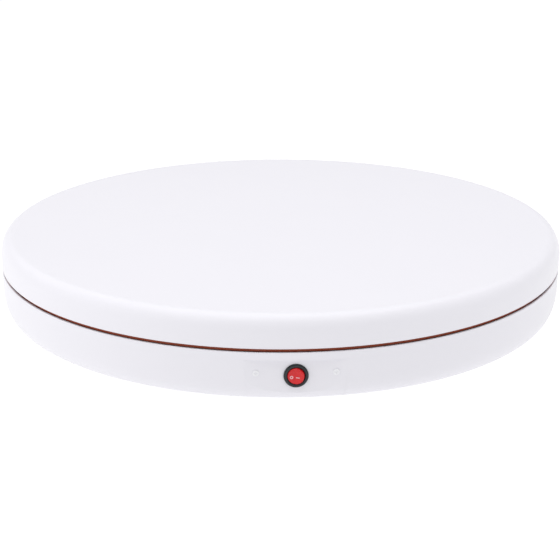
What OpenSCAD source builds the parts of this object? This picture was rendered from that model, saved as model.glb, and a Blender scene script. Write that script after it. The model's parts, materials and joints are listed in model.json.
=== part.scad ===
// Motorised display turntable: a round cover on a board turns on eight rollers and a centre bearing,
// driven at an inner rim by a rubber-tyred wheel on a flat synchronous gearmotor.
// Millimetres, +Z up, origin on the surface it stands on, on the disc's axis. The switch faces -Y.

/* [Disc and base] */
// Outer diameter of the cover and the base
disc_d = 600; // [590:5:640]
// Height from the surface to the top face
total_h = 87; // [86:1:95]
// Thickness of the moulded cover and base walls
wall = 2.5; // [2:0.5:3]
// Height of the open seam between cover and base
seam_h = 3.4; // [3:0.1:4]
// Height of the cover's outside, top face to rim
cover_h = 30; // [28:1:32]
// Radial depth of the rounding round the top face
cover_round_r = 13.3; // [10:0.1:16]
// Drop of the rounding round the top face
cover_round_h = 19.5; // [16:0.5:22]
// Radial depth of the rounding under the base
base_round_r = 22.6; // [18:0.1:26]
// Drop of the rounding under the base
base_round_h = 35; // [30:1:36]

/* [Boards] */
// Thickness of the load board and the base board
board_t = 12; // [10:1:12]

/* [Switch] */
// Diameter of the rocker switch's bezel
bezel_d = 22.5; // [21.5:0.5:24]
// Half of the width of the flat that the switch sits on
flat_half_w = 47; // [44:1:50]
// Height of the switch's axis over the surface
switch_z = 30.5; // [30.5:0.5:33]
// Angle that the rocker swings from off to on
rocker_swing = 20; // [12:1:20]

/* [Rollers] */
// Number of support rollers
roller_n = 8; // [8:1:8]
// Radius of a support roller
roller_r = 14; // [12:0.5:14]
// Width of a support roller
roller_w = 10; // [8:1:10]

/* [Drive] */
// Inner radius of the drive rim
rim_r = 170; // [160:1:175]
// Radius of the rubber-tyred drive wheel
wheel_r = 22; // [20:0.5:22]

/* [Fixings and feet] */
// Number of rubber feet
foot_n = 8; // [6:1:10]
// Height of a rubber foot
foot_h = 4; // [3:0.5:4]
// Diameter of a rubber foot
foot_d = 24; // [20:1:28]

/* [Hidden] */
$fn = 96;
fine = 240;
disc_r = disc_d / 2;
profile_steps = 14;
eps = 0.01;
roller_names = [for (i = [1:roller_n]) str("roller_", i)];

// Levels, from the surface up
base_z = foot_h;
cover_rim_z = total_h - cover_h;
base_rim_z = cover_rim_z - seam_h;
base_board_z = base_z + wall;
deck_z = base_board_z + board_t;
run_gap = 0.3;
load_board_z = base_rim_z + run_gap;
load_top_z = load_board_z + board_t;

// Moulded outlines: superellipses, whose exponent sets how square the shoulder is
cover_power = 2.18;
base_power = 2.8;
cover_flat_r = disc_r - cover_round_r;
base_flat_r = disc_r - base_round_r;
base_turn_z = base_z + base_round_h;

// Flat for the switch: the chord that gives it its width
flat_y = -sqrt(disc_r * disc_r - flat_half_w * flat_half_w);
flat_top_z = 46.3;

// Track and drive
track_t = 1.2;
track_in_r = 219;
track_out_r = 249;
track_z = load_board_z - track_t;
roller_at_r = 235;
contact_gap = 0.25;
roller_z = track_z - contact_gap - roller_r;
axle_r = 2.5;
fit_gap = 0.05;
bracket_t = 2;
bracket_gap = roller_w + 1.2;
bracket_w = 24;
bracket_foot_half = 27;
bracket_screw_at = 21;
rim_t = 4;
rim_flange_w = 20;
rim_flange_t = 3;
rim_low_z = 40;
wheel_angle = 200;
wheel_at_r = rim_r - contact_gap - wheel_r;
wheel_low_z = 41;
wheel_w = 10;
tyre_t = 4;
shaft_r = 3.5;
set_screw_z = 7;

// Gearmotor: its output shaft is offset from the middle of the motor can
can_r = 30;
can_low_z = base_board_z + 1.5;
can_h = 20;
gear_h = 10;
gear_z = can_low_z + can_h;
shaft_offset = 26;
standoff_at = 38;

// Centre bearing, a 17 x 40 x 12 ball bearing
brg_in_r = 8.5;
brg_out_r = 20;
brg_w = 12;
brg_z = 40;
brg_pitch_r = 14.25;
ball_r = 3.37;
ball_n = 8;
ball_play = 0.12;
spindle_flange_r = 35;
hub_r = 26;
hub_flange_r = 45;
hub_flange_t = 4;
hub_lip = 2;
nut_af = 24;

// Switch
bezel_t = 2;
body_r = 9.9;
body_l = 18;
mouth_r = 7.85;
mouth_l = 10;
rocker_r = 7.7;
pivot_back = 1.5;
valley = 1.7;
facet_tilt = 10;
pin_r = 1;
front_y = flat_y - bezel_t;
pivot_y = front_y + pivot_back;
guard_screw_x = 36;
guard_screw_z = switch_z + 3;
guard_depth = 32;
guard_h = 23.6;
guard_wall = 1.5;

// Gland for the mains cord at the back
gland_bore_r = 3.75;
gland_r = 7.9;
gland_flange_r = 11;
gland_flange_t = 3;
gland_l = 20;
gland_z = 36;
gland_y = disc_r - 0.5;

// Feet and screws
foot_at_r = 250;
foot_screw_r = 2;
screw_gap = 0.05;
hub_screw_at_r = 36;
rim_screw_at_r = rim_r + 12;
track_screw_at_r = 223.5;
cover_screw_at_r = 270;
spindle_screw_at_r = 27;

// Inner leads, as routes on the base board
lead_r = 1.6;
lead_z = deck_z + lead_r + 0.2;
block_at = [0, 230];
switch_route = [
    [0, flat_y + guard_depth + 4.2, 27], [0, -255, 25], [-3, -248, lead_z], [-14, -236, lead_z],
    [-22, -215, lead_z], [-25, -180, lead_z], [-26, -130, lead_z], [-28, -80, lead_z],
    [-42, -30, lead_z], [-62, 10, lead_z], [-72, 60, lead_z], [-66, 120, lead_z],
    [-48, 168, lead_z], [-22, 200, lead_z], [-4, 212, lead_z], [0, 217, 23],
    [0, 220, 24], [0, block_at[1] - 4.5, 24]];
motor_route = [
    [-82.6, -30, gear_z + 5], [-78, -28, gear_z + 4], [-73, -24, gear_z - 2], [-72, -17, lead_z],
    [-76, -2, lead_z], [-84, 30, lead_z], [-85, 65, lead_z], [-80, 118, lead_z],
    [-61, 168, lead_z], [-36, 200, lead_z], [-16, 212, lead_z], [-11, 217, 23],
    [-11, 220, 24], [-11, block_at[1] - 4.5, 24]];

// ---- helpers ----

// Points of a quarter superellipse with half-axes a and b, from its outer end (a, 0) to its far end (0, b)
function quarter(a, b, power) = [for (i = [0:profile_steps])
    let (t = 90 * i / profile_steps) [a * pow(cos(t), 2 / power), b * pow(sin(t), 2 / power)]];

function shifted(pts, r, z, flip = 1) = [for (p = pts) [r + p[0], z + flip * p[1]]];

module lathe(pts) {
    rotate_extrude($fn = fine) polygon(pts);
}

module ring(r_out, r_in, h) {
    difference() {
        cylinder(r = r_out, h = h);
        translate([0, 0, -1]) cylinder(r = r_in, h = h + 2);
    }
}

// Places its children n times round the axis, at radius r
module around(n, r, start = 0) {
    for (i = [0:n - 1]) rotate([0, 0, start + 360 * i / n]) translate([r, 0, 0]) children();
}

// Points a part modelled along +Z along +Y instead
module along_y() {
    rotate([-90, 0, 0]) children();
}

// Pan-head screw: the top of its shank meets z = 0 and its head lies above, with a cross recess
module pan_screw(shank_r, shank_l, head_r, head_h) {
    difference() {
        union() {
            translate([0, 0, -shank_l]) cylinder(r = shank_r, h = shank_l + eps);
            cylinder(r = head_r, h = head_h);
        }
        for (a = [0, 90]) rotate([0, 0, a])
            translate([-head_r * 0.55, -head_r * 0.13, head_h * 0.45])
                cube([head_r * 1.1, head_r * 0.26, head_h]);
    }
}

// Flat-head screw: its face lies at z = 0 and its cone and shank below
module flat_screw(shank_r, shank_l, head_r) {
    cone_h = head_r - shank_r;
    difference() {
        union() {
            translate([0, 0, -cone_h]) cylinder(r1 = shank_r, r2 = head_r, h = cone_h);
            translate([0, 0, -shank_l]) cylinder(r = shank_r, h = shank_l - cone_h + eps);
        }
        for (a = [0, 90]) rotate([0, 0, a])
            translate([-head_r * 0.5, -head_r * 0.12, -cone_h * 0.5])
                cube([head_r, head_r * 0.24, cone_h]);
    }
}

// Seat for a flat-head screw, a little larger than the screw
module flat_seat(shank_r, shank_l, head_r) {
    cone_h = head_r - shank_r;
    translate([0, 0, -cone_h]) cylinder(r1 = shank_r + screw_gap, r2 = head_r + screw_gap, h = cone_h);
    translate([0, 0, -eps]) cylinder(r = head_r + screw_gap, h = 1);
    translate([0, 0, -shank_l - 1]) cylinder(r = shank_r + screw_gap, h = shank_l + 1);
}

// Tube of radius r swept along a route, one ring of flat sides at each point
lead_sides = 8;
function unit(v) = v / norm(v);
function heading(p, i) = unit(p[min(i + 1, len(p) - 1)] - p[max(i - 1, 0)]);
function side_of(t) = unit(cross(t, abs(t[2]) > 0.9 ? [0, 1, 0] : [0, 0, 1]));
function lead_ring(p, i, r) = let (t = heading(p, i), s = side_of(t), u = cross(s, t))
    [for (k = [0:lead_sides - 1]) p[i] + r * (cos(360 * k / lead_sides) * s + sin(360 * k / lead_sides) * u)];
module lead(p, r) {
    n = lead_sides;
    last = len(p) - 1;
    pts = [for (i = [0:last]) each lead_ring(p, i, r)];
    caps = [[for (k = [0:n - 1]) k], [for (k = [n - 1:-1:0]) last * n + k]];
    sides = [for (i = [0:last - 1], k = [0:n - 1])
        [i * n + k, (i + 1) * n + k, (i + 1) * n + (k + 1) % n, i * n + (k + 1) % n]];
    polyhedron(pts, concat(caps, sides), convexity = 4);
}

// ---- where fixings go ----

module at_feet() { around(foot_n, foot_at_r, 180 / foot_n) children(); }
module at_rollers() { around(roller_n, roller_at_r, 180 / roller_n) children(); }
module at_bracket_screws() {
    at_rollers() for (s = [-1, 1]) translate([0, s * bracket_screw_at, 0]) children();
}
module at_spindle_screws() { around(6, spindle_screw_at_r) children(); }
module at_hub_screws() { around(6, hub_screw_at_r) children(); }
module at_rim_screws() { around(8, rim_screw_at_r) children(); }
module at_track_screws() { around(8, track_screw_at_r) children(); }
module at_cover_screws() { around(8, cover_screw_at_r) children(); }
module at_wheel() { rotate([0, 0, wheel_angle]) translate([wheel_at_r, 0, 0]) children(); }
module at_can() { at_wheel() translate([-shaft_offset, 0, 0]) children(); }
module at_standoffs() {
    at_can() for (a = [55, 125, 235, 305]) rotate([0, 0, a]) translate([standoff_at, 0, 0]) children();
}
module at_block_screws() {
    for (s = [-1, 1]) translate([block_at[0] + 20 * s, block_at[1], 0]) children();
}

// ---- turning disc ----

rib_t = 2.5;
rib_h = total_h - load_top_z - wall + eps;
module top_cover() color("ghostwhite") {
    outer = concat([[0, total_h]],
        [for (i = [profile_steps:-1:0]) shifted(quarter(cover_round_r, cover_round_h, cover_power),
            cover_flat_r, total_h - cover_round_h)[i]],
        [[disc_r, cover_rim_z], [disc_r - wall, cover_rim_z]]);
    inner = shifted(quarter(cover_round_r - wall, cover_round_h - wall, cover_power),
        cover_flat_r, total_h - cover_round_h);
    difference() {
        union() {
            lathe(concat(outer, inner, [[0, total_h - wall]]));
            // Ribs that stand on the load board
            translate([0, 0, load_top_z]) {
                for (r = [60, 130, 200]) ring(r + rib_t / 2, r - rib_t / 2, rib_h);
                for (i = [0:11]) rotate([0, 0, 15 + 30 * i]) translate([60, -rib_t / 2, 0])
                    cube([220, rib_t, rib_h]);
                at_cover_screws() cylinder(r = 5, h = rib_h);
            }
        }
        translate([0, 0, load_top_z - 1]) at_cover_screws() cylinder(r = 2 + screw_gap, h = 13);
    }
}

module load_board() color("saddlebrown") {
    difference() {
        translate([0, 0, load_board_z]) cylinder(r = disc_r - wall - 0.2, h = board_t, $fn = fine);
        translate([0, 0, load_board_z - 1]) cylinder(r = 24, h = board_t + 2);
        translate([0, 0, load_board_z - 1]) at_cover_screws() cylinder(r = 2 + screw_gap, h = board_t + 2);
        translate([0, 0, load_board_z]) at_cover_screws() translate([0, 0, -1]) cylinder(r = 4.3, h = 3.6);
        translate([0, 0, load_board_z - 1]) {
            at_hub_screws() cylinder(r = 2 + screw_gap, h = 11);
            at_rim_screws() cylinder(r = 1.75 + screw_gap, h = 11);
            at_track_screws() cylinder(r = 1.5 + screw_gap, h = 9);
        }
    }
}

module cover_screws() color("silver") {
    translate([0, 0, load_board_z + 2.5]) at_cover_screws() mirror([0, 0, 1]) pan_screw(2, 20, 4, 2.2);
}

module hub_housing() color("gray") {
    top = load_board_z;
    difference() {
        union() {
            translate([0, 0, brg_z - hub_lip]) cylinder(r = hub_r, h = top - brg_z + hub_lip);
            translate([0, 0, top - hub_flange_t]) cylinder(r = hub_flange_r, h = hub_flange_t);
        }
        translate([0, 0, brg_z]) cylinder(r = brg_out_r + fit_gap, h = top - brg_z + 1);
        translate([0, 0, brg_z - hub_lip - 1]) cylinder(r = 17, h = hub_lip + 2);
        translate([0, 0, top - hub_flange_t - 1])
            at_hub_screws() cylinder(r = 2 + screw_gap, h = hub_flange_t + 2);
    }
}

module hub_screws() color("silver") {
    translate([0, 0, load_board_z - hub_flange_t]) at_hub_screws() mirror([0, 0, 1]) pan_screw(2, 13, 4, 2.4);
}

module roller_track() color("lightsteelblue") {
    difference() {
        translate([0, 0, track_z]) ring(track_out_r, track_in_r, track_t, $fn = fine);
        translate([0, 0, track_z - 1]) at_track_screws() cylinder(r = 1.5 + screw_gap, h = track_t + 2);
        translate([0, 0, track_z]) at_track_screws() mirror([0, 0, 1]) flat_seat(1.5, 4, 2.6);
    }
}

module track_screws() color("silver") {
    translate([0, 0, track_z]) at_track_screws() mirror([0, 0, 1]) flat_screw(1.5, 8.5, 2.6);
}

module drive_rim() color("dimgray") {
    rim_top = load_board_z - rim_flange_t;
    difference() {
        union() {
            translate([0, 0, rim_low_z]) ring(rim_r + rim_t, rim_r, rim_top - rim_low_z + eps, $fn = fine);
            translate([0, 0, rim_top]) ring(rim_r + rim_flange_w, rim_r, rim_flange_t, $fn = fine);
        }
        translate([0, 0, rim_top - 1]) at_rim_screws() cylinder(r = 1.75 + screw_gap, h = rim_flange_t + 2);
    }
}

module drive_rim_screws() color("silver") {
    translate([0, 0, load_board_z - rim_flange_t])
        at_rim_screws() mirror([0, 0, 1]) pan_screw(1.75, 12, 3.4, 2);
}

// ---- base ----

// Everything in front of the switch's flat, in = how far inside the outer face it lies
module flat_cut(in) {
    translate([-80, flat_y + in - 60, 0]) cube([160, 60, flat_top_z + in]);
}

module base_solid(in) {
    outline = shifted(quarter(base_round_r - in, base_round_h - in, base_power),
        base_flat_r, base_turn_z, -1);
    top = in > 0 ? base_rim_z + 10 : base_rim_z;
    lathe(concat([[0, top], [disc_r - in, top]], outline, [[0, base_z + in]]));
}

module base_shell() color("ghostwhite") {
    difference() {
        difference() {
            base_solid(0);
            flat_cut(0);
        }
        difference() {
            base_solid(wall);
            flat_cut(wall);
        }
        translate([0, flat_y - 1, switch_z]) along_y() cylinder(r = body_r + screw_gap, h = wall + 2);
        for (s = [-1, 1]) translate([s * guard_screw_x, flat_y - 1, guard_screw_z])
            along_y() cylinder(r = 1.5 + screw_gap, h = wall + 2);
        translate([0, disc_r - wall - 1, gland_z]) along_y() cylinder(r = gland_r + screw_gap, h = wall + 2);
        translate([0, gland_y, gland_z]) along_y() cylinder(r = gland_flange_r + 0.3, h = 5);
        translate([0, 0, base_z - 1]) at_feet() cylinder(r = foot_screw_r + screw_gap, h = wall + 2);
    }
}

module base_board() color("saddlebrown") {
    difference() {
        translate([0, 0, base_board_z]) cylinder(r = 268, h = board_t, $fn = fine);
        translate([0, 0, base_board_z - 1]) {
            at_feet() cylinder(r = foot_screw_r + screw_gap, h = board_t + 2);
            at_can() cylinder(r = can_r + 2, h = board_t + 2);
        }
        translate([0, 0, deck_z - 9]) {
            at_bracket_screws() cylinder(r = 1.75 + screw_gap, h = 10);
            at_spindle_screws() cylinder(r = 2 + screw_gap, h = 10);
            at_standoffs() cylinder(r = 1.5 + screw_gap, h = 10);
            at_block_screws() cylinder(r = 1.5 + screw_gap, h = 10);
        }
    }
}

module rubber_feet() color("dimgray") {
    at_feet() difference() {
        union() {
            cylinder(r1 = foot_d / 2 - 1, r2 = foot_d / 2, h = 1);
            translate([0, 0, 1]) cylinder(r = foot_d / 2, h = foot_h - 1);
        }
        translate([0, 0, -1]) cylinder(r = foot_screw_r + screw_gap, h = foot_h + 2);
        translate([0, 0, -1]) cylinder(r = 4.4, h = foot_h - 0.2);
    }
}

module foot_screws() color("silver") {
    translate([0, 0, foot_h - 1.2]) at_feet() mirror([0, 0, 1]) pan_screw(foot_screw_r, 13.5, 4, 2.2);
}

// ---- centre bearing ----

module spindle() color("silver") {
    difference() {
        union() {
            translate([0, 0, deck_z]) cylinder(r = spindle_flange_r, h = 5);
            translate([0, 0, deck_z]) cylinder(r = 16, h = 34 - deck_z);
            translate([0, 0, deck_z]) cylinder(r = 11.3, h = brg_z - deck_z);
            translate([0, 0, deck_z]) cylinder(r = brg_in_r - 0.02, h = brg_z + brg_w - deck_z);
            translate([0, 0, deck_z]) cylinder(r = 8, h = brg_z + brg_w + 11 - deck_z);
        }
        translate([0, 0, deck_z - 1]) at_spindle_screws() cylinder(r = 2 + screw_gap, h = 7);
    }
}

module spindle_screws() color("silver") {
    translate([0, 0, deck_z + 5]) at_spindle_screws() pan_screw(2, 13, 3.8, 2.2);
}

module spindle_washer() color("silver") {
    translate([0, 0, brg_z + brg_w]) ring(11.8, 8 + fit_gap, 2);
}

module spindle_nut() color("silver") {
    translate([0, 0, brg_z + brg_w + 2]) difference() {
        cylinder(r = nut_af / 2 / cos(30), h = 8, $fn = 6);
        translate([0, 0, -1]) cylinder(r = 8 + fit_gap, h = 10);
    }
}

module ball_groove() {
    translate([0, 0, brg_z + brg_w / 2]) rotate_extrude()
        translate([brg_pitch_r, 0]) circle(r = ball_r + ball_play);
}

module bearing_inner_ring() color("gainsboro") {
    difference() {
        translate([0, 0, brg_z]) ring(11.9, brg_in_r, brg_w);
        ball_groove();
    }
}

module bearing_outer_ring() color("gainsboro") {
    difference() {
        translate([0, 0, brg_z]) ring(brg_out_r, 16.6, brg_w);
        ball_groove();
    }
}

module at_balls() { translate([0, 0, brg_z + brg_w / 2]) around(ball_n, brg_pitch_r) children(); }

module bearing_cage() color("goldenrod") {
    difference() {
        translate([0, 0, brg_z + brg_w / 2 - 1.5]) ring(brg_pitch_r + 1, brg_pitch_r - 1, 6.6);
        at_balls() sphere(r = ball_r + 0.06);
    }
}

module bearing_balls() color("silver") {
    at_balls() sphere(r = ball_r);
}

// ---- support rollers, the axle of each one radial ----

module roller_bracket() {
    difference() {
        union() {
            translate([-9, -bracket_foot_half, deck_z]) cube([18, 2 * bracket_foot_half, bracket_t]);
            for (s = [-1, 1]) translate([s * (bracket_gap + bracket_t) / 2, 0, 0]) {
                translate([-bracket_t / 2, -bracket_w / 2, deck_z])
                    cube([bracket_t, bracket_w, roller_z - deck_z]);
                translate([-bracket_t / 2, 0, roller_z]) rotate([0, 90, 0]) cylinder(r = 8, h = bracket_t);
            }
        }
        translate([-15, 0, roller_z]) rotate([0, 90, 0]) cylinder(r = axle_r + 0.02, h = 30);
        for (s = [-1, 1]) translate([0, s * bracket_screw_at, deck_z - 1])
            cylinder(r = 1.75 + screw_gap, h = bracket_t + 2);
    }
}

module roller_brackets() color("lightsteelblue") {
    at_rollers() roller_bracket();
}

module bracket_screws() color("silver") {
    translate([0, 0, deck_z + bracket_t]) at_bracket_screws() pan_screw(1.75, 10, 3.4, 2);
}

module roller_axles() color("silver") {
    half = bracket_gap / 2 + bracket_t;
    at_rollers() translate([0, 0, roller_z]) rotate([0, 90, 0]) {
        translate([0, 0, -half]) cylinder(r = axle_r, h = 2 * half + 1);
        translate([0, 0, -half - 1.5]) cylinder(r = axle_r + 1.7, h = 1.5);
        translate([0, 0, half]) cylinder(r = axle_r + 1.2, h = 1);
    }
}

// One roller, number i from 1: a nylon wheel with a web each side and eased edges
module roller(i) color("whitesmoke") {
    rotate([0, 0, 180 / roller_n + 360 * (i - 1) / roller_n]) translate([roller_at_r, 0, roller_z])
        rotate([0, 90, 0]) translate([0, 0, -roller_w / 2]) rotate_extrude() polygon([
            [axle_r + fit_gap, 0], [6, 0], [6, 1.5], [10.5, 1.5], [10.5, 0], [roller_r - 1, 0],
            [roller_r, 1], [roller_r, roller_w - 1], [roller_r - 1, roller_w], [10.5, roller_w],
            [10.5, roller_w - 1.5], [6, roller_w - 1.5], [6, roller_w], [axle_r + fit_gap, roller_w]]);
}

// ---- gearmotor and drive wheel ----

module motor_can() color("silver") {
    translate([0, 0, can_low_z]) at_can() cylinder(r = can_r, h = can_h - 0.05);
}

module gearbox() color("lightgray") {
    difference() {
        translate([0, 0, gear_z]) union() {
            at_can() cylinder(r = 33, h = gear_h);
            at_wheel() cylinder(r = 15, h = gear_h);
            at_can() translate([0, -15, 0]) cube([shaft_offset, 30, gear_h]);
            at_standoffs() cylinder(r = 6, h = 2.5);
        }
        translate([0, 0, gear_z - 1]) {
            at_wheel() cylinder(r = shaft_r + 0.06, h = gear_h + 2);
            at_standoffs() cylinder(r = 1.5 + screw_gap, h = gear_h + 2);
        }
        translate([0, 0, gear_z + 2.5]) at_standoffs() cylinder(r = 4, h = gear_h);
    }
}

module motor_standoffs() color("silver") {
    translate([0, 0, deck_z]) at_standoffs() difference() {
        cylinder(r = 4, h = gear_z - deck_z);
        translate([0, 0, -1]) cylinder(r = 1.5 + screw_gap, h = gear_z - deck_z + 2);
    }
}

module motor_screws() color("silver") {
    translate([0, 0, gear_z + 2.5]) at_standoffs() pan_screw(1.5, gear_z - deck_z + 2.5 + 8, 3, 1.8);
}

module output_shaft() color("silver") {
    at_wheel() translate([0, 0, gear_z + 1]) difference() {
        cylinder(r = shaft_r, h = wheel_low_z + wheel_w + 1 - gear_z - 1);
        translate([shaft_r - 1, -5, wheel_low_z - gear_z - 1.2]) cube([3, 10, 20]);
    }
}

module drive_wheel_hub() color("whitesmoke") {
    at_wheel() translate([0, 0, wheel_low_z]) difference() {
        union() {
            cylinder(r = 8, h = wheel_w);
            translate([0, 0, 1]) cylinder(r = wheel_r - tyre_t, h = 3);
            ring(wheel_r - tyre_t, wheel_r - tyre_t - 2.5, wheel_w);
        }
        translate([0, 0, -1]) intersection() {
            cylinder(r = shaft_r + 0.02, h = wheel_w + 2);
            translate([-10, -10, 0]) cube([10 + shaft_r - 1 + 0.02, 20, wheel_w + 2]);
        }
        translate([shaft_r - 1.5, 0, set_screw_z]) rotate([0, 90, 0]) cylinder(r = 1.5, h = 7);
    }
}

module drive_tyre() color("dimgray") {
    at_wheel() translate([0, 0, wheel_low_z]) rotate_extrude($fn = fine) polygon([
        [wheel_r - tyre_t + fit_gap, 0], [wheel_r - 1, 0], [wheel_r, 1], [wheel_r, wheel_w - 1],
        [wheel_r - 1, wheel_w], [wheel_r - tyre_t + fit_gap, wheel_w]]);
}

module drive_set_screw() color("silver") {
    at_wheel() translate([shaft_r - 0.95, 0, wheel_low_z + set_screw_z]) rotate([0, 90, 0]) difference() {
        cylinder(r = 1.45, h = 5.5);
        translate([0, 0, 4]) cylinder(r = 0.8, h = 3, $fn = 6);
    }
}

// ---- rocker switch ----

module switch_housing() color("dimgray") {
    difference() {
        union() {
            translate([0, front_y, switch_z]) along_y() {
                cylinder(r1 = bezel_d / 2 - 0.8, r2 = bezel_d / 2, h = 0.8);
                translate([0, 0, 0.8]) cylinder(r = bezel_d / 2, h = bezel_t - 0.8);
            }
            translate([0, flat_y - eps, switch_z]) along_y() cylinder(r = body_r, h = body_l + eps);
        }
        translate([0, front_y - 1, switch_z]) along_y() cylinder(r = mouth_r, h = mouth_l + 1);
        translate([0, pivot_y, switch_z - 9.5]) cylinder(r = pin_r + fit_gap, h = 19);
        for (s = [-1, 1]) translate([s * 4 - 2.5, flat_y + body_l - 3, switch_z - 0.5]) cube([5, 4, 1]);
    }
}

// Rocker about its pivot, -Y out of the panel: a ball that swings clear of the mouth, cut to two
// facets in front and flat behind
rocker_back = 4.5;
module rocker_blank() {
    rise = 12 * tan(facet_tilt);
    intersection() {
        rotate([0, 35, 0]) rotate([90, 0, 0]) sphere(r = rocker_r);
        translate([0, 0, -12]) linear_extrude(24) polygon([[-12, -valley - rise], [0, -valley],
            [12, -valley - rise], [12, rocker_back], [-12, rocker_back]]);
    }
}

module rocker_at_rest() {
    translate([0, pivot_y, switch_z]) rotate([0, 0, -rocker_swing / 2]) children();
}

module switch_rocker() color("red") {
    rocker_at_rest() {
        rocker_blank();
        translate([0, 0, -9.4]) cylinder(r = pin_r, h = 18.8);
    }
}

// The off ring and the on bar, laid on the rocker's two facets
mark_t = 0.15;
module rocker_marks() color("white") {
    rocker_at_rest() translate([0, -valley, 0]) {
        rotate([0, 0, facet_tilt]) translate([-3.75, 0, -1]) rotate([90, 0, 0]) ring(1.5, 0.8, mark_t);
        rotate([0, 0, -facet_tilt]) translate([0.2, -mark_t, -1.6]) cube([3.3, mark_t, 0.8]);
    }
}

module switch_terminals() color("gold") {
    for (s = [-1, 1]) translate([s * 4 - 2.4, flat_y + body_l - 3, switch_z - 0.4]) cube([4.8, 11, 0.8]);
}

module switch_guard() color("dimgray") {
    in_y = flat_y + wall;
    difference() {
        union() {
            translate([-15, in_y, switch_z - guard_h / 2]) cube([30, guard_depth, guard_h]);
            translate([-guard_screw_x - 5, in_y, switch_z - 6]) cube([2 * guard_screw_x + 10, 2.5, 14]);
            for (s = [-1, 1]) translate([s * guard_screw_x, in_y, guard_screw_z])
                along_y() cylinder(r = 4, h = 8);
        }
        translate([guard_wall - 15, in_y - 1, switch_z - guard_h / 2 + guard_wall])
            cube([30 - 2 * guard_wall, guard_depth + 1 - guard_wall, guard_h - 2 * guard_wall]);
        for (s = [-1, 1]) translate([s * guard_screw_x, in_y - 1, guard_screw_z])
            along_y() cylinder(r = 1.5 + screw_gap, h = 8);
        translate([0, in_y + guard_depth - 3, 27]) along_y() cylinder(r = lead_r + 0.3, h = 5);
    }
}

module guard_screws() color("whitesmoke") {
    for (s = [-1, 1]) translate([s * guard_screw_x, flat_y, guard_screw_z])
        rotate([90, 0, 0]) pan_screw(1.5, 9, 2.9, 0.7);
}

// ---- mains entry ----

module cable_gland() color("dimgray") {
    difference() {
        union() {
            translate([0, gland_y, gland_z]) along_y() {
                cylinder(r = gland_flange_r, h = gland_flange_t - 1);
                translate([0, 0, gland_flange_t - 1])
                    cylinder(r1 = gland_flange_r, r2 = gland_flange_r - 1, h = 1);
            }
            translate([0, gland_y + gland_flange_t - gland_l, gland_z]) along_y()
                cylinder(r = gland_r, h = gland_l - gland_flange_t + eps);
        }
        translate([0, gland_y + gland_flange_t - gland_l - 1, gland_z]) along_y()
            cylinder(r = gland_bore_r, h = gland_l + 2);
    }
}

module gland_nut() color("dimgray") {
    translate([0, disc_r - wall - 1.2 - 5, gland_z]) along_y() difference() {
        cylinder(r = 12, h = 5, $fn = 6);
        translate([0, 0, -1]) cylinder(r = gland_r + fit_gap, h = 7);
    }
}

module terminal_block() color("whitesmoke") {
    translate([block_at[0] - 25, block_at[1] - 8, deck_z]) difference() {
        union() {
            cube([50, 16, 4]);
            translate([8, 0, 0]) cube([34, 16, 11]);
        }
        for (s = [0:2]) translate([14 + 11 * s, -1, 5.5]) rotate([-90, 0, 0]) cylinder(r = 1.9, h = 5);
        for (s = [0:2]) translate([14 + 11 * s, 8, 7]) cylinder(r = 2.2, h = 5);
        for (s = [5, 45]) translate([s, 8, -1]) cylinder(r = 1.5 + screw_gap, h = 6);
    }
}

module terminal_screws() color("gold") {
    translate([0, 0, deck_z + 4]) at_block_screws() pan_screw(1.5, 11, 2.6, 1.6);
    for (s = [-1:1]) translate([block_at[0] + 11 * s, block_at[1], deck_z + 7]) cylinder(r = 2.1, h = 2.5);
}

module switch_lead() color("dimgray") { lead(switch_route, lead_r); }
module motor_lead() color("dimgray") { lead(motor_route, lead_r); }

// ---- one node at a time ----

top_cover();
load_board();
cover_screws();
hub_housing();
hub_screws();
bearing_outer_ring();
roller_track();
track_screws();
drive_rim();
drive_rim_screws();
base_shell();
base_board();
rubber_feet();
foot_screws();
spindle();
spindle_screws();
spindle_washer();
spindle_nut();
bearing_inner_ring();
bearing_cage();
bearing_balls();
roller_brackets();
bracket_screws();
roller_axles();
motor_can();
gearbox();
motor_standoffs();
motor_screws();
output_shaft();
drive_wheel_hub();
drive_tyre();
drive_set_screw();
switch_housing();
switch_rocker();
rocker_marks();
switch_terminals();
switch_guard();
guard_screws();
cable_gland();
gland_nut();
terminal_block();
terminal_screws();
switch_lead();
motor_lead();
for (i = [1:roller_n]) roller(i);
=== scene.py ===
# Looks of the motorised display turntable: finely turned shells, the switch, materials, light and camera.
import json
import math

import bmesh
import bpy
from mathutils import Matrix, Vector

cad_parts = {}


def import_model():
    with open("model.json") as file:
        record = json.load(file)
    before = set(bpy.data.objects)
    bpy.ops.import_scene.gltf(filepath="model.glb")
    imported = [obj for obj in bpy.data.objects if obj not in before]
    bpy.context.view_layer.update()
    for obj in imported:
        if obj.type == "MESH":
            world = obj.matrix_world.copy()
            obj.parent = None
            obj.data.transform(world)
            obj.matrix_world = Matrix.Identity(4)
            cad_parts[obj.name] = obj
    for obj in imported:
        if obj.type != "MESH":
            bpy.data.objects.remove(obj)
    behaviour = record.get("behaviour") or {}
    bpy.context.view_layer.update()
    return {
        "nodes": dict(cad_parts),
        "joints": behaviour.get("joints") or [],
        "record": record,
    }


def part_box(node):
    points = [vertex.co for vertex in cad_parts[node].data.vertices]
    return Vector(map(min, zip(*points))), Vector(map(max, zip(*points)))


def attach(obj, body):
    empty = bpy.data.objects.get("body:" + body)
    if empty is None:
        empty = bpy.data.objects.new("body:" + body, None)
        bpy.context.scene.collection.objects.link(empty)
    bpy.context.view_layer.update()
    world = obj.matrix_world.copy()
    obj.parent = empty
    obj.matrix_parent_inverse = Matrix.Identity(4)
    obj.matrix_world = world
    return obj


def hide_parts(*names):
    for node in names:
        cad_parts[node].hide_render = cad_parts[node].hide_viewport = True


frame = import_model()
MM = 0.001
TAU = 2 * math.pi

# ---- where things are, from the CAD nodes ----

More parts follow.
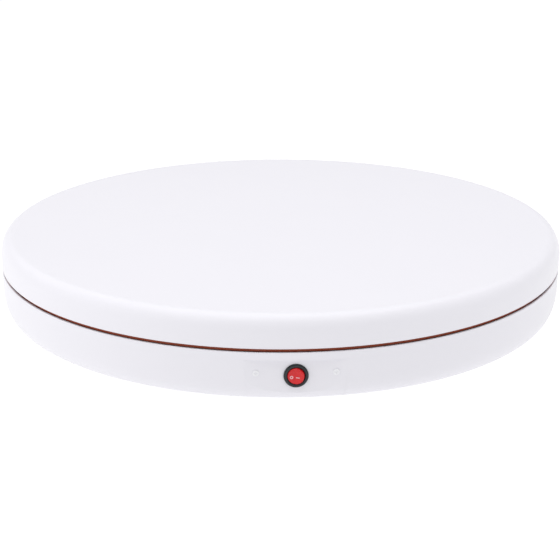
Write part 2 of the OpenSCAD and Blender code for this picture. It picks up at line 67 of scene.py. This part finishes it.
cover_lo, cover_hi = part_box("top_cover")
shell_lo, shell_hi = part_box("base_shell")
BOARD_TOP_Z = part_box("load_board")[1].z
housing_lo, housing_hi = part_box("switch_housing")
gland_lo, gland_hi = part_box("cable_gland")
guard_lo, guard_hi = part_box("guard_screws")

TOP_Z, COVER_RIM_Z = cover_hi.z, cover_lo.z
SHELL_RIM_Z, SHELL_Z = shell_hi.z, shell_lo.z
SWITCH_Z = (housing_lo.z + housing_hi.z) / 2
GLAND_Z = (gland_lo.z + gland_hi.z) / 2
GUARD_Z = (guard_lo.z + guard_hi.z) / 2
BEZEL_R = (housing_hi.x - housing_lo.x) / 2 / MM
PIVOT = Vector(next(j["pos_m"] for j in frame["joints"] if j["name"] == "rocker_hinge"))

# ---- measures of the two shells ----

R = 300 * MM
WALL = 2.5 * MM
LIP = 0.6 * MM  # radius of each rim's two edges
COVER_ROUND = (13.3 * MM, 19.5 * MM, 2.18)  # how far in, how far down, and the superellipse's power
BASE_ROUND = (22.6 * MM, 35 * MM, 2.8)
FLAT_HALF = 47 * MM  # half the width of the flat behind the switch
FLAT_Y = -math.sqrt(R * R - FLAT_HALF * FLAT_HALF)
LEDGE_Z = 46.3 * MM  # where the wall steps back out over the flat
COVER_WALL_END = 2 * MM  # above the cover's rim
BASE_WALL_END = 3 * MM  # below the base's rim
SAME = 1e-6  # points closer than this, in metres, count as one

COLUMNS = 480  # points round a shell
FLAT_COLUMNS = 40  # of which this many lie across the flat
FACING = 0.9  # a column can meet the flat only if its direction's share of -Y is over this
TOP_RINGS = (0.2, 0.5, 0.75, 0.9, 0.97, 0.99)  # shares of the cover's flat top
BOTTOM_RINGS = (0.2, 0.4, 0.6, 0.75, 0.82, 0.87, 0.92, 0.96)  # shares of the base's flat bottom
WALL_RINGS = (0.33, 0.66, 1)
SHOULDER_STEPS, INSIDE_STEPS = 40, 12
OUTLINE_STEPS = 600  # points of a superellipse before it is evened out
BOWL_STEPS, BOWL_EVENED, BOWL_WALL_STEPS = 200, 34, 10
LIP_STEPS, COVER_INNER_LIP_STEPS = 5, 3

RIB_HALF = 1.25 * MM
RIB_RINGS = (60 * MM, 130 * MM, 200 * MM)
SPOKE_SPANS = ((62 * MM, 128 * MM), (132 * MM, 198 * MM), (202 * MM, 280 * MM))
SPOKES = 12
SPOKE_START, SPOKE_STEP = 15, 30  # degrees
BOSSES = 8
BOSS_AT = 270 * MM
BOSS_R, BOSS_HOLE_R = 5 * MM, 2.05 * MM
RIB_COLUMNS, BOSS_COLUMNS = 120, 32

FEET = 8
FOOT_AT = 250 * MM
FOOT_HOLE_R, FOOT_HOLE_DEPTH, FOOT_RUN_IN = 2.05 * MM, 8 * MM, 2 * MM
SWITCH_HOLE_R, GUARD_HOLE_R, GLAND_HOLE_R = 9.95 * MM, 1.55 * MM, 7.95 * MM
GUARD_HEAD_R = 2.9 * MM
HOLE_DEPTH = 12 * MM
FLAT_RUN_IN, GLAND_RUN_IN = 5 * MM, 8 * MM  # how far before the wall a hole's cutter starts
LARGE_HOLE_COLUMNS, SMALL_HOLE_COLUMNS = 96, 32

# ---- measures of the switch, in mm ----

MOUTH_R = 7.85  # the hole that the rocker swings in
MOUTH_DEPTH = 8
BODY = ((0, -18), (9.6, -18), (9.9, -17.6), (9.9, -12), (9.9, -6), (9.9, 0))
BEZEL_OUTSIDE = ((0, 0), (0, 0.5), (0.1, 1.05), (0.38, 1.5), (0.8, 1.83), (1.35, 1.98))
BEZEL_INSIDE = ((1.5, 1.97), (1.0, 1.88), (0.55, 1.68), (0.22, 1.4), (0.05, 1.1), (0, 0.8),
                (0, -0.2), (0, -MOUTH_DEPTH), (-0.5, -MOUTH_DEPTH))
BEZEL_COLUMNS = 128

ROCKER_R = 7.7  # the ball that the rocker's rim follows
ROCKER_DEPTH = 4.5
ROCKER_TIP = 10  # degrees that it stands off straight at rest, and that each half of its face leans
TILT = math.tan(math.radians(ROCKER_TIP))
VALLEY = 1.7  # from the pivot out to the middle of its face
VALLEY_EASE = 0.6
RIM_EASE = 0.55  # the rounding between its face and its rim
BACK_R = 3
FACE_RINGS = (0, 0.08, 0.16, 0.26, 0.38, 0.5, 0.62, 0.74, 0.86, 0.94, 1)
ROCKER_COLUMNS, EASE_STEPS, BALL_STEPS = 96, 6, 10
REACH_ROUNDS = 30  # rounds until the reach of a column settles
PIN_FROM, PIN_R, PIN_LENGTH, PIN_COLUMNS = 7.4, 0.5, 2, 24

MARK_LIFT, MARK_SINK = 0.12, -0.02  # above and below the rocker's face
RING_AT = (-3.75, -1)
RING_COLUMNS = 40
RING_SECTION = ((0.75, MARK_SINK), (0.8, MARK_LIFT), (1.15, MARK_LIFT), (1.45, MARK_LIFT),
                (1.5, MARK_SINK))
BAR_FROM, BAR_TO, BAR_STEPS = 0.15, 3.45, 10
BAR_SECTION = ((-1.62, MARK_SINK), (-1.57, MARK_LIFT), (-1.2, MARK_LIFT), (-0.83, MARK_LIFT),
               (-0.78, MARK_SINK))

# ---- floor, lights and camera ----

FLOOR_SIZE, FLOOR_CELLS = 60.0, 24
FLOOR_GREY, FLOOR_DARK, FLOOR_PALE = 0.2, 0.195, 0.205
FLOOR_GLOW = 0.90
SURROUND = 0.53
SEAM_AT = (0, 0, 0.05)
LIGHTS = (  # name, place, aim, size in metres, power in watts, shows as a highlight
    ("overhead", (0, 0, 2.6), SEAM_AT, (3.0, 3.0), 58, False),
    ("left", (-1.95, -0.6, 0.45), SEAM_AT, (2.0, 0.8), 10, False),
    ("right", (1.9, -0.85, 0.45), SEAM_AT, (2.0, 0.8), 4.6, False),
    ("glint", (-1.3, -1.5, 1.9), (0, -0.2, 0.03), (0.4, 0.4), 0.5, True),
)
LENS, SENSOR = 83.707, 36.0
CAMERA_DISTANCE = 1.4335
CAMERA_ELEVATION, CAMERA_AZIMUTH = 17.4925, -2.70  # degrees, as all four angles are
CAMERA_PITCH, CAMERA_YAW = 18.8494, 0.0195
CLIP_NEAR, CLIP_FAR = 0.05, 60


# ---- materials ----

DARK_AT, PALE_AT = 0.3, 0.7  # the stretch of a noise texture that is read
MOTTLE_SCALE, GLOSS_SCALE, PEEL_SCALE = 14, 60, 420  # noise scales, per metre, as all scales are
FIBRE_SCALE, FIBRE_GLOSS_SCALE = 900, 300
SPECK_SCALE = 700
FLOOR_SCALE = 3
COAT_ROUGH = 0.08


def node_material(name, rgb, rough, metallic=0.0):
    """A material with its nodes, its shader and a coordinate to hang textures on."""
    mat = bpy.data.materials.new(name)
    mat.use_nodes = True
    tree = mat.node_tree
    shader = tree.nodes["Principled BSDF"]
    shader.inputs["Base Color"].default_value = (*rgb, 1)
    shader.inputs["Roughness"].default_value = rough
    shader.inputs["Metallic"].default_value = metallic
    coord = tree.nodes.new("ShaderNodeTexCoord")
    mat.diffuse_color = (*rgb, 1)
    return mat, tree, shader, coord.outputs["Object"]


def noise(tree, coord, scale, detail=3.0, rough=0.5, stretch=None):
    """A noise texture; stretch scales its axes before it is read, which draws it out into a grain."""
    node = tree.nodes.new("ShaderNodeTexNoise")
    node.inputs["Scale"].default_value = scale
    node.inputs["Detail"].default_value = detail
    node.inputs["Roughness"].default_value = rough
    if stretch:
        mapping = tree.nodes.new("ShaderNodeMapping")
        mapping.inputs["Scale"].default_value = stretch
        tree.links.new(coord, mapping.inputs["Vector"])
        coord = mapping.outputs["Vector"]
    tree.links.new(coord, node.inputs["Vector"])
    return node.outputs["Fac"]


def spread(tree, value, low, high):
    """Maps a noise texture onto low..high."""
    node = tree.nodes.new("ShaderNodeMapRange")
    node.inputs["From Min"].default_value = DARK_AT
    node.inputs["From Max"].default_value = PALE_AT
    node.inputs["To Min"].default_value = low
    node.inputs["To Max"].default_value = high
    tree.links.new(value, node.inputs["Value"])
    return node.outputs["Result"]


def ramp(tree, value, stops):
    """A colour ramp through (position, colour) stops."""
    node = tree.nodes.new("ShaderNodeValToRGB")
    line = node.color_ramp
    while len(line.elements) < len(stops):
        line.elements.new(0.5)
    for element, (at, rgb) in zip(line.elements, stops):
        element.position = at
        element.color = (*rgb, 1)
    tree.links.new(value, node.inputs["Fac"])
    return node.outputs["Color"]


def bump(tree, shader, value, height, strength=1.0):
    """Raises the surface by a texture; height is in metres."""
    node = tree.nodes.new("ShaderNodeBump")
    node.inputs["Strength"].default_value = strength
    node.inputs["Distance"].default_value = height
    tree.links.new(value, node.inputs["Height"])
    tree.links.new(node.outputs["Normal"], shader.inputs["Normal"])


def tint(rgb, k):
    """A colour times k."""
    return tuple(min(1.0, c * k) for c in rgb)


def shade(tree, shader, value, rgb, dark, pale):
    """Lets a noise texture carry the base colour from dark to pale times rgb."""
    colour = ramp(tree, value, [(DARK_AT, tint(rgb, dark)), (PALE_AT, tint(rgb, pale))])
    tree.links.new(colour, shader.inputs["Base Color"])


def moulded(name, rgb, rough, mottle=0.02, peel=0.00002, coat=0.0, uneven=0.15):
    """Moulded plastic: a faint mottle, uneven gloss and orange peel."""
    mat, tree, shader, at = node_material(name, rgb, rough)
    shade(tree, shader, noise(tree, at, MOTTLE_SCALE, 2), rgb, 1 - mottle, 1 + mottle)
    gloss = spread(tree, noise(tree, at, GLOSS_SCALE, 3), rough * (1 - uneven), rough * (1 + uneven))
    tree.links.new(gloss, shader.inputs["Roughness"])
    bump(tree, shader, noise(tree, at, PEEL_SCALE, 2), peel)
    shader.inputs["Coat Weight"].default_value = coat
    shader.inputs["Coat Roughness"].default_value = COAT_ROUGH
    return mat


def fibreboard(name):
    """Red-brown fibreboard: matted fibres, paler flecks, a dry matt surface."""
    base = (0.25, 0.056, 0.028)
    fleck = (0.42, 0.18, 0.11)
    mat, tree, shader, at = node_material(name, base, 0.75)
    fibres = noise(tree, at, FIBRE_SCALE, 6, 0.65, (1, 1, 2.5))
    stops = [(0.25, tint(base, 0.62)), (0.5, base), (0.62, tint(base, 1.35)), (0.8, fleck)]
    tree.links.new(ramp(tree, fibres, stops), shader.inputs["Base Color"])
    shader.inputs["Specular IOR Level"].default_value = 0.2
    gloss = spread(tree, noise(tree, at, FIBRE_GLOSS_SCALE, 4), 0.62, 0.85)
    tree.links.new(gloss, shader.inputs["Roughness"])
    bump(tree, shader, fibres, 0.00012, 0.8)
    return mat


def plated(name, rgb, rough, grain=(1, 1, 1), scale=250, depth=0.00002):
    """Plated or machined metal: fine streaks or grain in its gloss, and a little shade in its colour."""
    mat, tree, shader, at = node_material(name, rgb, rough, 1.0)
    streaks = noise(tree, at, scale, 4, 0.6, grain)
    shade(tree, shader, streaks, rgb, 0.88, 1.08)
    tree.links.new(spread(tree, streaks, rough * 0.7, rough * 1.4), shader.inputs["Roughness"])
    bump(tree, shader, streaks, depth)
    return mat


def rubber(name):
    """Black rubber with a dusty, specked surface."""
    rgb = (0.022, 0.022, 0.024)
    mat, tree, shader, at = node_material(name, rgb, 0.75)
    specks = noise(tree, at, SPECK_SCALE, 5)
    shade(tree, shader, specks, rgb, 0.7, 1.5)
    tree.links.new(spread(tree, specks, 0.62, 0.9), shader.inputs["Roughness"])
    bump(tree, shader, specks, 0.00006, 0.7)
    return mat


def red_lens(name):
    """The rocker's clear red plastic, with light carried a little way inside it."""
    mat = moulded(name, (0.61, 0.013, 0.016), 0.30, mottle=0.14, peel=0.00001, coat=0.1)
    shader = mat.node_tree.nodes["Principled BSDF"]
    shader.inputs["Specular IOR Level"].default_value = 0.35
    shader.inputs["Subsurface Weight"].default_value = 0.25
    shader.inputs["Subsurface Radius"].default_value = (0.004, 0.0006, 0.0005)
    shader.inputs["Subsurface Scale"].default_value = 0.5
    return mat


SLOTS = {
    "cover_white": moulded("cover_white", (0.80, 0.79, 0.84), 0.36,
                           mottle=0.002, peel=0.0000015, uneven=0.04),
    "base_white": moulded("base_white", (0.79, 0.78, 0.83), 0.36,
                          mottle=0.002, peel=0.000002, uneven=0.04),
    "fibreboard": fibreboard("fibreboard"),
    "steel_screw": plated("steel_screw", (0.72, 0.73, 0.75), 0.28, scale=600),
    "cast_alloy": plated("cast_alloy", (0.60, 0.61, 0.63), 0.42, scale=350, depth=0.00005),
    "track_steel": plated("track_steel", (0.64, 0.66, 0.68), 0.30, (1, 1, 20), 120),
    "rim_plastic": moulded("rim_plastic", (0.030, 0.030, 0.033), 0.5, mottle=0.15, peel=0.00004),
    "bearing_steel": plated("bearing_steel", (0.78, 0.79, 0.80), 0.14, (1, 1, 12), 400, 0.000005),
    "cage_brass": plated("cage_brass", (0.72, 0.52, 0.22), 0.30, scale=500),
    "nylon": moulded("nylon", (0.80, 0.78, 0.72), 0.45, mottle=0.03, peel=0.00003),
    "bracket_steel": plated("bracket_steel", (0.62, 0.64, 0.66), 0.36, (1, 6, 1), 200),
    "motor_can": plated("motor_can", (0.68, 0.69, 0.71), 0.25, (1, 1, 10), 160),
    "rubber_black": rubber("rubber_black"),
    "switch_black": moulded("switch_black", (0.007, 0.012, 0.014), 0.38, mottle=0.12, peel=0.00002),
    "rocker_red": red_lens("rocker_red"),
    "mark_white": moulded("mark_white", (0.82, 0.50, 0.52), 0.5, mottle=0.04),
    "terminal_brass": plated("terminal_brass", (0.76, 0.58, 0.26), 0.22, scale=500),
    "guard_black": moulded("guard_black", (0.028, 0.028, 0.030), 0.55, mottle=0.15, peel=0.00004),
    "screw_white": moulded("screw_white", (0.84, 0.84, 0.87), 0.35, mottle=0.02),
    "lead_black": moulded("lead_black", (0.025, 0.025, 0.027), 0.6, mottle=0.15, peel=0.00004),
}

for part in frame["record"]["subparts"]:
    mesh = frame["nodes"][part["node"]].data
    mesh.materials.clear()
    mesh.materials.append(SLOTS[part["material_slot"]])


# ---- mesh helpers ----

def piece(name, bm, slot, body, node=None, sharp=35):
    """Turns a bmesh into an object that rides on a body and, if node is given, stands for that CAD node."""
    bmesh.ops.remove_doubles(bm, verts=bm.verts, dist=1e-7)
    bmesh.ops.recalc_face_normals(bm, faces=bm.faces)
    mesh = bpy.data.meshes.new(name)
    bm.to_mesh(mesh)
    bm.free()
    mesh.materials.append(SLOTS[slot])
    mesh.shade_smooth()
    mesh.set_sharp_from_angle(angle=math.radians(sharp))
    obj = bpy.data.objects.new(name, mesh)
    bpy.context.scene.collection.objects.link(obj)
    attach(obj, body)
    if node:
        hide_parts(node)
    return obj


def skin(bm, rows, closed=True):
    """Faces between rows of points; closed rows join their last point to their first."""
    made = [[bm.verts.new(p) for p in row] for row in rows]
    for a, b in zip(made, made[1:]):
        n = len(a)
        for i in range(n if closed else n - 1):
            j = (i + 1) % n
            bm.faces.new((a[i], a[j], b[j], b[i]))
    return made


def capped(bm, rows):
    """A skin with a face over its first and last row."""
    made = skin(bm, rows)
    bm.faces.new(made[0][::-1])
    bm.faces.new(made[-1])


def turned(bm, profile, angles, place=None, loop=False):
    """A surface of revolution about Z from (r, z) points. loop joins the last point to the first."""
    pts = profile + [profile[0]] if loop else profile
    place = place or Matrix.Identity(4)
    skin(bm, [[place @ Vector((r * math.cos(a), r * math.sin(a), z)) for a in angles] for r, z in pts])


def toward(axis):
    """A turn that points local Z along axis."""
    return Vector(axis).to_track_quat("Z", "Y").to_matrix().to_4x4()


def rod(bm, centre, axis, radius, length, n):
    """A closed round bar from centre along axis."""
    turned(bm, [(0, 0), (radius, 0), (radius, length), (0, length)], full_turn(n),
           Matrix.Translation(Vector(centre)) @ toward(axis))


def steps(n, start=0.0, end=1.0):
    """n equal steps from start to end, both included."""
    return [start + (end - start) * i / n for i in range(n + 1)]


def full_turn(n):
    """n angles round a circle."""
    return [TAU * i / n for i in range(n)]


def corner(r, z, radius, start, end, n):
    """An arc in the profile's plane about (r, z), between two angles in degrees."""
    return [(r + radius * math.cos(math.radians(a)), z + radius * math.sin(math.radians(a)))
            for a in steps(n, start, end)]


def evened(points, n):
    """The same line, read at n equal steps along its length."""
    run = [0.0]
    for p, q in zip(points, points[1:]):
        run.append(run[-1] + math.dist(p, q))
    out = []
    k = 0
    for s in steps(n, 0, run[-1]):
        while k < len(run) - 2 and run[k + 1] < s:
            k += 1
        f = (s - run[k]) / max(run[k + 1] - run[k], 1e-12)
        out.append(tuple(p + (q - p) * f for p, q in zip(points[k], points[k + 1])))
    return out


def superellipse(a, b, power, n):
    """Quarter outline from (a, 0) to (0, b), its points evened out along its length."""
    fine = [(a * math.cos(t) ** (2 / power), b * math.sin(t) ** (2 / power))
            for t in steps(OUTLINE_STEPS, 0, math.pi / 2 - 1e-9)]
    return evened(fine, n)


def cut(obj, cutters):
    """Cuts closed solids, given as one bmesh, out of an object's mesh."""
    mesh = bpy.data.meshes.new("cutter")
    bmesh.ops.recalc_face_normals(cutters, faces=cutters.faces)
    cutters.to_mesh(mesh)
    cutters.free()
    tool = bpy.data.objects.new("cutter", mesh)
    bpy.context.scene.collection.objects.link(tool)
    mod = obj.modifiers.new("holes", "BOOLEAN")
    mod.operation, mod.solver, mod.object = "DIFFERENCE", "EXACT", tool
    done = bpy.data.meshes.new_from_object(obj.evaluated_get(bpy.context.evaluated_depsgraph_get()))
    obj.modifiers.clear()
    old = obj.data
    obj.data = done
    bpy.data.meshes.remove(old)
    bpy.data.objects.remove(tool)
    bpy.data.meshes.remove(mesh)
    done.name = obj.name


# ---- cover: flat top, soft shoulder, straight wall and a small rounding at the rim ----

def cover():
    bm = bmesh.new()
    a, b, power = COVER_ROUND
    flat_r, spring_z = R - a, TOP_Z - b
    wall_end = COVER_RIM_Z + COVER_WALL_END
    shoulder = [(flat_r + p, spring_z + q) for p, q in superellipse(a, b, power, SHOULDER_STEPS)][::-1]
    inner = superellipse(a - WALL, b - WALL, power, INSIDE_STEPS)
    inside = [(flat_r + p, spring_z + q) for p, q in inner]
    profile = [(0, TOP_Z)] + [(flat_r * k, TOP_Z) for k in TOP_RINGS] + shoulder
    profile += [(R, spring_z + (wall_end - spring_z) * k) for k in WALL_RINGS]
    profile += corner(R - LIP, COVER_RIM_Z + LIP, LIP, 0, -90, LIP_STEPS)
    profile += corner(R - WALL + LIP, COVER_RIM_Z + LIP, LIP, -90, -180, COVER_INNER_LIP_STEPS)
    profile += inside + [(flat_r * 0.5, TOP_Z - WALL), (0, TOP_Z - WALL)]
    turned(bm, profile, full_turn(COLUMNS))
    piece("cover_shell", bm, "cover_white", "turntable", "top_cover")


def cover_ribs():
    """Rings, spokes and screw bosses that carry the cover's top on the load board."""
    bm = bmesh.new()
    low, high = BOARD_TOP_Z, TOP_Z - WALL
    for r in RIB_RINGS:
        section = [(r - RIB_HALF, low), (r + RIB_HALF, low), (r + RIB_HALF, high), (r - RIB_HALF, high)]
        turned(bm, section, full_turn(RIB_COLUMNS), loop=True)
    spoke = [(-RIB_HALF, low), (-RIB_HALF, high), (RIB_HALF, high), (RIB_HALF, low)]
    for i in range(SPOKES):
        place = Matrix.Rotation(math.radians(SPOKE_START + SPOKE_STEP * i), 4, "Z")
        for span in SPOKE_SPANS:
            capped(bm, [[place @ Vector((r, y, z)) for y, z in spoke] for r in span])
    boss = [(BOSS_HOLE_R, low), (BOSS_R, low), (BOSS_R, high), (BOSS_HOLE_R, high)]
    for i in range(BOSSES):
        place = Matrix.Rotation(TAU * i / BOSSES, 4, "Z") @ Matrix.Translation((BOSS_AT, 0, 0))
        turned(bm, boss, full_turn(BOSS_COLUMNS), place, loop=True)
    piece("cover_ribs", bm, "cover_white", "turntable", sharp=30)


# ---- base: a bowl, with a flat and a ledge over it at the switch ----

def bowl_angles():
    """The columns round the bowl, of which one lies exactly at each end of the flat."""
    edge = math.asin(FLAT_HALF / R)
    front = -math.pi / 2
    half, rest = FLAT_COLUMNS // 2, COLUMNS - FLAT_COLUMNS
    return ([front + edge * (i / half) for i in range(-half, half)]
            + [front + edge + (TAU - 2 * edge) * i / rest for i in range(rest)])


def bowl_rows(inset, angles):
    """Rows of points from the axis out and up to the ledge's level, inset from the outer face."""
    a, b, power = BASE_ROUND
    spring_z = SHELL_Z + b
    flat_r, low_z, wall_r = R - a, SHELL_Z + inset, R - inset
    plane, ledge = -FLAT_Y - inset, LEDGE_Z + inset
    quarter = superellipse(a - inset, b - inset, power, BOWL_STEPS)
    curve = [(flat_r + p, spring_z - q) for p, q in quarter][::-1]

    def column(angle):
        facing = -math.sin(angle)
        reach = min(wall_r, plane / facing) if facing > FACING else wall_r
        reach = reach if wall_r - reach > SAME else wall_r
        inner = [p for p in curve if p[0] < reach - SAME]
        if reach < wall_r:
            k = len(inner)
            p, q = curve[k - 1], curve[k]
            meet = (reach, p[1] + (q[1] - p[1]) * (reach - p[0]) / (q[0] - p[0]))
        else:
            inner, meet = curve[:-1], curve[-1]
        bottom = [(0, low_z)] + [(flat_r * f, low_z) for f in BOTTOM_RINGS]
        wall = [(reach, meet[1] + (ledge - meet[1]) * f) for f in steps(BOWL_WALL_STEPS)[1:]]
        return bottom + evened(inner + [meet], BOWL_EVENED) + wall + [(wall_r, ledge)]

    columns = [column(t) for t in angles]
    return [[Vector((c[i][0] * math.cos(t), c[i][0] * math.sin(t), c[i][1]))
             for c, t in zip(columns, angles)] for i in range(len(columns[0]))]


def ring_rows(profile, angles):
    """The same points as a round row for each (r, z)."""
    return [[Vector((r * math.cos(t), r * math.sin(t), z)) for t in angles] for r, z in profile]


def bowl():
    bm = bmesh.new()
    angles = bowl_angles()
    lip = corner(R - LIP, SHELL_RIM_Z - LIP, LIP, 0, 90, LIP_STEPS)
    lip += corner(R - WALL + LIP, SHELL_RIM_Z - LIP, LIP, 90, 180, LIP_STEPS)
    rows = bowl_rows(0, angles) + ring_rows([(R, SHELL_RIM_Z - BASE_WALL_END)] + lip, angles)
    rows += bowl_rows(WALL, angles)[::-1]
    skin(bm, rows)
    obj = piece("base_bowl", bm, "base_white", "base", "base_shell", sharp=22)

    holes = bmesh.new()
    inward, up = (0, 1, 0), (0, 0, 1)
    flat_at = FLAT_Y - FLAT_RUN_IN
    rod(holes, (0, flat_at, SWITCH_Z), inward, SWITCH_HOLE_R, HOLE_DEPTH, LARGE_HOLE_COLUMNS)
    guard_x = guard_hi.x - GUARD_HEAD_R
    for s in (-1, 1):
        rod(holes, (s * guard_x, flat_at, GUARD_Z), inward, GUARD_HOLE_R, HOLE_DEPTH, SMALL_HOLE_COLUMNS)
    rod(holes, (0, R - GLAND_RUN_IN, GLAND_Z), inward, GLAND_HOLE_R, HOLE_DEPTH, LARGE_HOLE_COLUMNS)
    for i in range(FEET):
        t = TAU * (i + 0.5) / FEET
        at = (FOOT_AT * math.cos(t), FOOT_AT * math.sin(t), SHELL_Z - FOOT_RUN_IN)
        rod(holes, at, up, FOOT_HOLE_R, FOOT_HOLE_DEPTH, SMALL_HOLE_COLUMNS)
    cut(obj, holes)


# ---- rocker switch, in mm about its own axis ----

def bezel():
    """Housing with a rolled rim, the mouth that the rocker swings in and the body behind the panel."""
    bm = bmesh.new()
    crest = [(BEZEL_R - d, h) for d, h in BEZEL_OUTSIDE] + [(MOUTH_R + d, h) for d, h in BEZEL_INSIDE]
    profile = list(BODY) + crest + [(0, -MOUTH_DEPTH)]
    place = Matrix.Translation((0, FLAT_Y, SWITCH_Z)) @ toward((0, -1, 0))
    turned(bm, [(r * MM, h * MM) for r, h in profile], full_turn(BEZEL_COLUMNS), place)
    piece("switch_bezel", bm, "switch_black", "base", "switch_housing", sharp=40)


def rocker_face(x):
    """How far out of the pivot the rocker's face lies at x, in mm; its valley is eased."""
    return VALLEY + TILT * (math.sqrt(x * x + VALLEY_EASE ** 2) - VALLEY_EASE)


def rocker_place():
    """Where the rocker's own axes stand at rest."""
    return Matrix.Translation(PIVOT) @ Matrix.Rotation(math.radians(-ROCKER_TIP), 4, "Z")


def on_ball(angle):
    """The point of the rocker's ball at an angle above its equator."""
    return ROCKER_R * math.cos(angle), ROCKER_R * math.sin(angle)


def rocker_column(c):
    """One column of (r, height) points, down the face, round the rim and along the back."""
    reach = ROCKER_R
    for _ in range(REACH_ROUNDS):
        reach = math.sqrt(ROCKER_R ** 2 - rocker_face(reach * c) ** 2)
    radii = [x * (reach - RIM_EASE) for x in FACE_RINGS]
    col = [(r, rocker_face(r * c)) for r in radii]
    edge = (reach, rocker_face(reach * c))
    end = math.asin(edge[1] / ROCKER_R) - RIM_EASE / ROCKER_R
    bend = list(zip(col[-1], edge, on_ball(end)))
    for f in steps(EASE_STEPS)[1:]:
        col.append(tuple((1 - f) ** 2 * u + 2 * f * (1 - f) * m + f * f * v for u, m, v in bend))
    back = -math.asin(ROCKER_DEPTH / ROCKER_R)
    col += [on_ball(end + (back - end) * f) for f in steps(BALL_STEPS)[1:]]
    return col + [(BACK_R, -ROCKER_DEPTH), (0, -ROCKER_DEPTH)]


def rocker():
    bm = bmesh.new()
    place = rocker_place()
    columns = []
    for t in full_turn(ROCKER_COLUMNS):
        c, s = math.cos(t), math.sin(t)
        columns.append([place @ (Vector((r * c, -h, r * s)) * MM) for r, h in rocker_column(c)])
    skin(bm, [list(row) for row in zip(*columns)])
    for s in (-1, 1):
        start = place @ Vector((0, 0, s * PIN_FROM * MM))
        rod(bm, start, (0, 0, s), PIN_R * MM, PIN_LENGTH * MM, PIN_COLUMNS)
    piece("rocker_cap", bm, "rocker_red", "rocker", "switch_rocker", sharp=50)


def rocker_print():
    """The ring and the bar, laid on the rocker's face."""
    bm = bmesh.new()
    place = rocker_place()

    def on_face(x, z, out):
        return place @ (Vector((x, -rocker_face(x) - out, z)) * MM)

    x0, z0 = RING_AT
    turns = full_turn(RING_COLUMNS)
    skin(bm, [[on_face(x0 + r * math.cos(t), z0 + r * math.sin(t), h) for t in turns]
              for r, h in RING_SECTION + RING_SECTION[:1]])
    capped(bm, [[on_face(x, z, h) for z, h in BAR_SECTION] for x in steps(BAR_STEPS, BAR_FROM, BAR_TO)])
    piece("rocker_print", bm, "mark_white", "rocker", "rocker_marks", sharp=40)


cover()
cover_ribs()
bowl()
bezel()
rocker()
rocker_print()


# ---- floor, light and camera ----

def floor():
    """A wide pale floor that gives off a soft white light and is clear from underneath."""
    bm = bmesh.new()
    line = [-FLOOR_SIZE / 2 + FLOOR_SIZE * i / FLOOR_CELLS for i in range(FLOOR_CELLS + 1)]
    skin(bm, [[Vector((x, y, 0)) for x in line] for y in line], closed=False)
    bmesh.ops.recalc_face_normals(bm, faces=bm.faces)
    mesh = bpy.data.meshes.new("floor")
    bm.to_mesh(mesh)
    bm.free()
    mat, tree, shader, at = node_material("floor_white", (FLOOR_GREY,) * 3, 0.9)
    stops = [(DARK_AT, (FLOOR_DARK,) * 3), (PALE_AT, (FLOOR_PALE,) * 3)]
    colour = ramp(tree, noise(tree, at, FLOOR_SCALE, 2), stops)
    tree.links.new(colour, shader.inputs["Base Color"])
    shader.inputs["Specular IOR Level"].default_value = 0.0
    shader.inputs["Emission Color"].default_value = (1, 1, 1, 1)
    shader.inputs["Emission Strength"].default_value = FLOOR_GLOW
    clear = tree.nodes.new("ShaderNodeBsdfTransparent")
    mix = tree.nodes.new("ShaderNodeMixShader")
    side = tree.nodes.new("ShaderNodeNewGeometry")
    tree.links.new(side.outputs["Backfacing"], mix.inputs["Fac"])
    tree.links.new(shader.outputs["BSDF"], mix.inputs[1])
    tree.links.new(clear.outputs["BSDF"], mix.inputs[2])
    tree.links.new(mix.outputs["Shader"], tree.nodes["Material Output"].inputs["Surface"])
    mesh.materials.append(mat)
    obj = bpy.data.objects.new("floor", mesh)
    bpy.context.scene.collection.objects.link(obj)


def soft_light(name, at, aim, size, power, glint):
    """An area light; only one with a glint shows as a highlight on glossy faces."""
    data = bpy.data.lights.new(name, "AREA")
    data.shape, data.size, data.size_y = "RECTANGLE", size[0], size[1]
    data.energy = power
    obj = bpy.data.objects.new(name, data)
    obj.location = at
    obj.rotation_euler = (Vector(aim) - Vector(at)).to_track_quat("-Z", "Y").to_euler()
    obj.visible_glossy = glint
    bpy.context.scene.collection.objects.link(obj)


def world(strength):
    """An even white surround of one strength."""
    made = bpy.data.worlds.new("studio")
    made.use_nodes = True
    back = made.node_tree.nodes["Background"]
    back.inputs["Color"].default_value = (1, 1, 1, 1)
    back.inputs["Strength"].default_value = strength
    bpy.context.scene.world = made


def camera():
    """A short tele lens at about 17.5 degrees above the seam, a little left of straight in front."""
    elevation, azimuth = math.radians(CAMERA_ELEVATION), math.radians(CAMERA_AZIMUTH)
    pitch, yaw = math.radians(CAMERA_PITCH), math.radians(CAMERA_YAW)
    seam_z = (COVER_RIM_Z + SHELL_RIM_Z) / 2
    data = bpy.data.cameras.new("camera")
    data.lens, data.sensor_width = LENS, SENSOR
    data.clip_start, data.clip_end = CLIP_NEAR, CLIP_FAR
    obj = bpy.data.objects.new("camera", data)
    obj.location = (CAMERA_DISTANCE * math.cos(elevation) * math.sin(azimuth),
                    -CAMERA_DISTANCE * math.cos(elevation) * math.cos(azimuth),
                    seam_z + CAMERA_DISTANCE * math.sin(elevation))
    obj.rotation_euler = (math.pi / 2 - pitch, 0, azimuth + yaw)
    bpy.context.scene.collection.objects.link(obj)
    bpy.context.scene.camera = obj


floor()
world(SURROUND)
for light in LIGHTS:
    soft_light(*light)
camera()

scene = bpy.context.scene
scene.view_settings.view_transform = "Standard"
scene.view_settings.look = "None"
